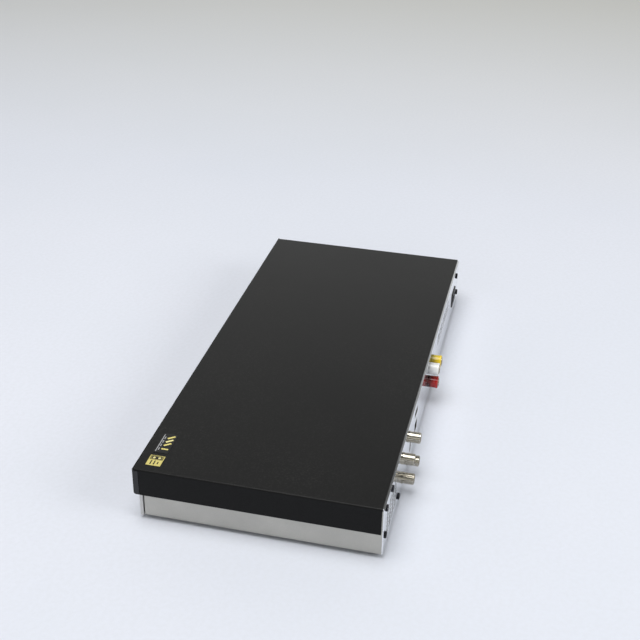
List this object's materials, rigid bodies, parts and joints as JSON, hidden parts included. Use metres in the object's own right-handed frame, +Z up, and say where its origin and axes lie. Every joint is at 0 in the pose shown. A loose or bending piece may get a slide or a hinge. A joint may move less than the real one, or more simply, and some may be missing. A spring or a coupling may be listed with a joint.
{
  "type": "disc recorder",
  "caption": "Slim table-top disc recorder: folded black cover over a sheet-steel tray, loading disc drive, hard disk, boards, rear sockets, cooling fan and a drop-down front flap.",
  "frame": {"origin": "on the table under the middle of the recorder's overall box", "axes": "+X to the right seen from the front, +Y to the rear, +Z up; the front face looks along -Y"},
  "size_m": [0.43, 0.2088, 0.0482],
  "materials": {
    "cover_paint": "fine textured matt black paint",
    "galvanised": "plain galvanised sheet",
    "panel_steel": "satin sheet",
    "gloss_black": "polished moulding",
    "smoked": "dark tinted, polished",
    "silver_plastic": "silver moulding",
    "black_plastic": "fine grain",
    "grey_plastic": "fine grain",
    "white_plastic": "moulded",
    "yellow_plastic": "moulded",
    "red_plastic": "moulded",
    "foil_gold": "foil sticker",
    "foil_black": "printed sticker",
    "rubber": "soft",
    "nickel": "nickel plate",
    "black_steel": "black zinc",
    "cast_aluminium": "cast",
    "aluminium": "plain",
    "circuit_board": "solder mask",
    "power_circuit": "bare laminate",
    "chip": "moulded package",
    "winding": "taped winding and core",
    "capacitor": "sleeved can",
    "lens": "coated",
    "mirror_disk": "polished",
    "cable": "flat ribbon"
  },
  "bodies": {
    "casing": {"top_cover": "cover_paint", "chassis": "galvanised", "rear_panel": "panel_steel", "rear_screws": "black_steel", "feet": "rubber", "front_slab": "gloss_black", "display_window": "smoked", "front_frame": "black_plastic", "lower_moulding": "silver_plastic", "gold_badge": "foil_gold", "black_badge": "foil_black", "loading_motor": "nickel", "loading_belt": "rubber", "drive_frame": "grey_plastic", "drive_lid": "galvanised", "hdd_base": "cast_aluminium", "hdd_lid": "aluminium", "hdd_board": "circuit_board", "hdd_bracket": "galvanised", "hdd_dampers": "rubber", "main_board": "circuit_board", "main_chips": "chip", "heat_sink": "aluminium", "tuner_can": "galvanised", "aerial_sockets": "nickel", "rca_block": "black_plastic", "rca_yellow": "yellow_plastic", "rca_white": "white_plastic", "rca_red": "red_plastic", "port_shells": "nickel", "power_board": "power_circuit", "transformer": "winding", "board_capacitors": "capacitor", "ac_inlet": "black_plastic", "fan_frame": "black_plastic", "small_boards": "circuit_board", "display_module": "grey_plastic", "key_switches": "chip", "board_connectors": "white_plastic", "flat_cables": "cable", "inner_screws": "nickel"},
    "tray": {"disc_tray": "black_plastic", "tray_bezel": "gloss_black"},
    "loading_gear": {"loading_gear": "white_plastic"},
    "motor_pulley": {"motor_pulley": "white_plastic"},
    "traverse": {"traverse": "black_plastic", "guide_rods": "nickel", "spindle_motor": "galvanised", "sled_motor": "nickel"},
    "turntable": {"turntable": "black_plastic"},
    "clamper": {"clamper": "white_plastic"},
    "pickup": {"pickup_sled": "cast_aluminium", "pickup_lens": "lens"},
    "lead_screw": {"lead_screw": "nickel"},
    "fan": {"fan_rotor": "black_plastic"},
    "platters": {"hdd_platters": "mirror_disk"},
    "head_arm": {"hdd_arm": "aluminium"},
    "power_key": {"power_button": "gloss_black"},
    "eject_key": {"eject_button": "gloss_black"},
    "flap": {"front_flap": "silver_plastic"}
  },
  "joints": [
    {"name": "tray_slide", "type": "slide", "parent": "casing", "child": "tray", "axis": [0, -1, 0], "range_m": [0, 0.14]},
    {"name": "loading_gear_turn", "type": "hinge", "parent": "casing", "child": "loading_gear", "pos_m": [-0.10462, -0.08, 0.0267], "axis": [0, 0, 1], "range_deg": [0, 804]},
    {"name": "motor_pulley_turn", "type": "hinge", "parent": "casing", "child": "motor_pulley", "pos_m": [-0.07062, -0.08, 0.0222], "axis": [0, 0, 1], "range_deg": [0, 2008]},
    {"name": "traverse_tip", "type": "hinge", "parent": "casing", "child": "traverse", "pos_m": [-0.054, 0.0465, 0.0215], "axis": [1, 0, 0], "range_deg": [0, 3.5]},
    {"name": "turntable_spin", "type": "hinge", "parent": "traverse", "child": "turntable", "pos_m": [-0.054, -0.026, 0.0319], "axis": [0, 0, 1], "continuous": true},
    {"name": "clamper_spin", "type": "hinge", "parent": "casing", "child": "clamper", "pos_m": [-0.054, -0.026, 0.0376], "axis": [0, 0, 1], "continuous": true},
    {"name": "pickup_slide", "type": "slide", "parent": "traverse", "child": "pickup", "axis": [0, 1, 0], "range_m": [0, 0.035]},
    {"name": "lead_screw_turn", "type": "hinge", "parent": "traverse", "child": "lead_screw", "pos_m": [-0.0205, 0, 0.0215], "axis": [0, 1, 0], "range_deg": [0, 4205]},
    {"name": "fan_spin", "type": "hinge", "parent": "casing", "child": "fan", "pos_m": [0.18, 0.088, 0.0245], "axis": [0, 1, 0], "continuous": true},
    {"name": "platter_spin", "type": "hinge", "parent": "casing", "child": "platters", "pos_m": [0.1548, -0.0385, 0.0315], "axis": [0, 0, 1], "continuous": true},
    {"name": "head_arm_swing", "type": "hinge", "parent": "casing", "child": "head_arm", "pos_m": [0.124, 0.031, 0.0315], "axis": [0, 0, 1], "range_deg": [-20, 0]},
    {"name": "power_press", "type": "slide", "parent": "casing", "child": "power_key", "axis": [0, 1, 0], "range_m": [0, 0.0008], "stiffness_N_per_m": 900},
    {"name": "eject_press", "type": "slide", "parent": "casing", "child": "eject_key", "axis": [0, 1, 0], "range_m": [0, 0.0008], "stiffness_N_per_m": 900},
    {"name": "flap_drop", "type": "hinge", "parent": "casing", "child": "flap", "pos_m": [0.065, -0.0994, 0.0105], "axis": [1, 0, 0], "range_deg": [0, 88]}
  ],
  "couplings": [
    {"joint": "loading_gear_turn", "follows": "tray_slide", "rad_per_m": 100},
    {"joint": "motor_pulley_turn", "follows": "tray_slide", "rad_per_m": 250},
    {"joint": "clamper_spin", "follows": "turntable_spin", "ratio": 1},
    {"joint": "lead_screw_turn", "follows": "pickup_slide", "rad_per_m": 2094.4}
  ]
}
